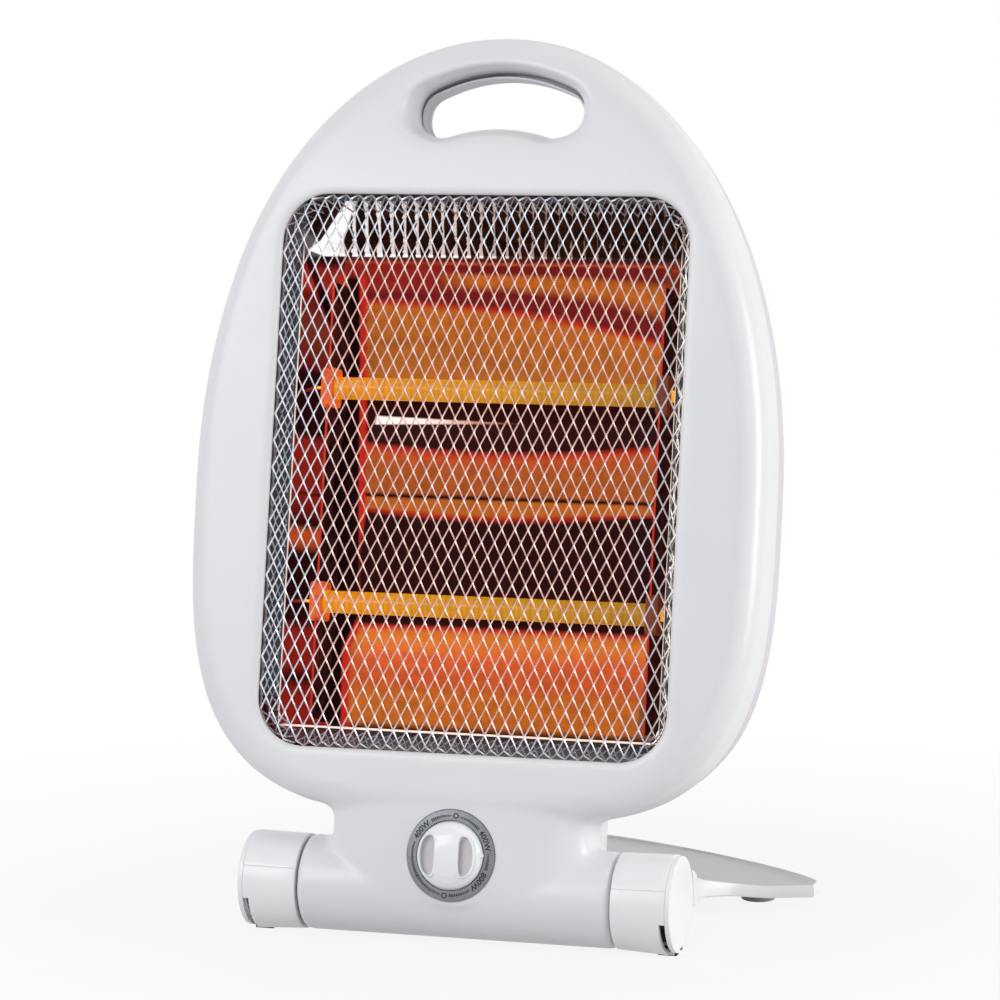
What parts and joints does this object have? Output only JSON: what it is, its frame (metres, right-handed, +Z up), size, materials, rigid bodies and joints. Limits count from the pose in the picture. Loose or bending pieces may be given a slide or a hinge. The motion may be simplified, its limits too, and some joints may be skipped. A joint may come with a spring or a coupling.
{
  "type": "quartz heater",
  "caption": "Free-standing quartz heater: egg-shaped casing with handle and grilled window, quartz tubes before a reflector, selector knob, and a foot that folds about the bottom barrel.",
  "frame": {"origin": "on the floor, under the middle of the heater's box with its foot open", "axes": "+Z up, the heated front faces -Y, +X to the right seen from the front"},
  "size_m": [0.2678, 0.2232, 0.3949],
  "materials": {
    "white_plastic": "semi-gloss, moulded",
    "grey_plastic": "satin, moulded",
    "dial_plastic": "satin with printed marks",
    "grille_steel": "bright plated expanded metal",
    "fixing_steel": "zinc plated",
    "polished_sheet": "polished",
    "quartz": "clear, glowing orange in use",
    "coil_wire": "glowing resistance wire",
    "ceramic": "unglazed",
    "black_plastic": "moulded",
    "rubber": "matt",
    "red_wire": "insulation",
    "blue_wire": "insulation"
  },
  "bodies": {
    "heater_body": {"front_casing": "white_plastic", "rear_casing": "grey_plastic", "grille": "grille_steel", "reflector_tray": "polished_sheet", "reflector_end_left": "polished_sheet", "reflector_end_right": "polished_sheet", "reflector_upper": "polished_sheet", "reflector_lower": "polished_sheet", "tube_bracket_left": "fixing_steel", "tube_bracket_right": "fixing_steel", "quartz_tube_upper": "quartz", "quartz_tube_lower": "quartz", "heating_coil_upper": "coil_wire", "heating_coil_lower": "coil_wire", "ceramic_cap_upper_left": "ceramic", "ceramic_cap_upper_right": "ceramic", "ceramic_cap_lower_left": "ceramic", "ceramic_cap_lower_right": "ceramic", "dial_ring": "dial_plastic", "selector_switch": "black_plastic", "selector_nut": "fixing_steel", "tip_over_switch": "black_plastic", "terminal_block": "ceramic", "thermal_cutout": "black_plastic", "cord_gland": "rubber", "wire_live": "red_wire", "wire_feed": "red_wire", "wire_upper_feed": "red_wire", "wire_lower_feed": "red_wire", "wire_upper_return": "red_wire", "wire_lower_return": "red_wire", "wire_neutral": "blue_wire", "casing_screw_side_left": "fixing_steel", "casing_screw_side_right": "fixing_steel", "casing_screw_shoulder_left": "fixing_steel", "casing_screw_shoulder_right": "fixing_steel", "casing_screw_neck_left": "fixing_steel", "casing_screw_neck_right": "fixing_steel", "hinge_spindle_left": "fixing_steel", "hinge_spindle_right": "fixing_steel", "spindle_nut_left": "fixing_steel", "spindle_nut_right": "fixing_steel", "friction_washer_left": "fixing_steel", "friction_washer_right": "fixing_steel"},
    "foot": {"foot_plate": "white_plastic", "hub_cover_left": "white_plastic", "hub_cover_right": "white_plastic", "hub_cover_screw_left": "fixing_steel", "hub_cover_screw_right": "fixing_steel", "end_disc_left": "white_plastic", "end_disc_right": "white_plastic", "foot_pad_front_left": "rubber", "foot_pad_front_right": "rubber", "foot_pad_rear_left": "rubber", "foot_pad_rear_right": "rubber"},
    "knob": {"selector_knob": "white_plastic", "switch_shaft": "fixing_steel"}
  },
  "joints": [
    {"name": "foot_fold", "type": "hinge", "parent": "heater_body", "child": "foot", "pos_m": [0, -0.08141, 0.0225], "axis": [1, 0, 0], "range_deg": [0, 58]},
    {"name": "knob_turn", "type": "hinge", "parent": "heater_body", "child": "knob", "pos_m": [0, -0.10921, 0.04335], "axis": [0, -0.9848, 0.1736], "range_deg": [0, 270]}
  ]
}
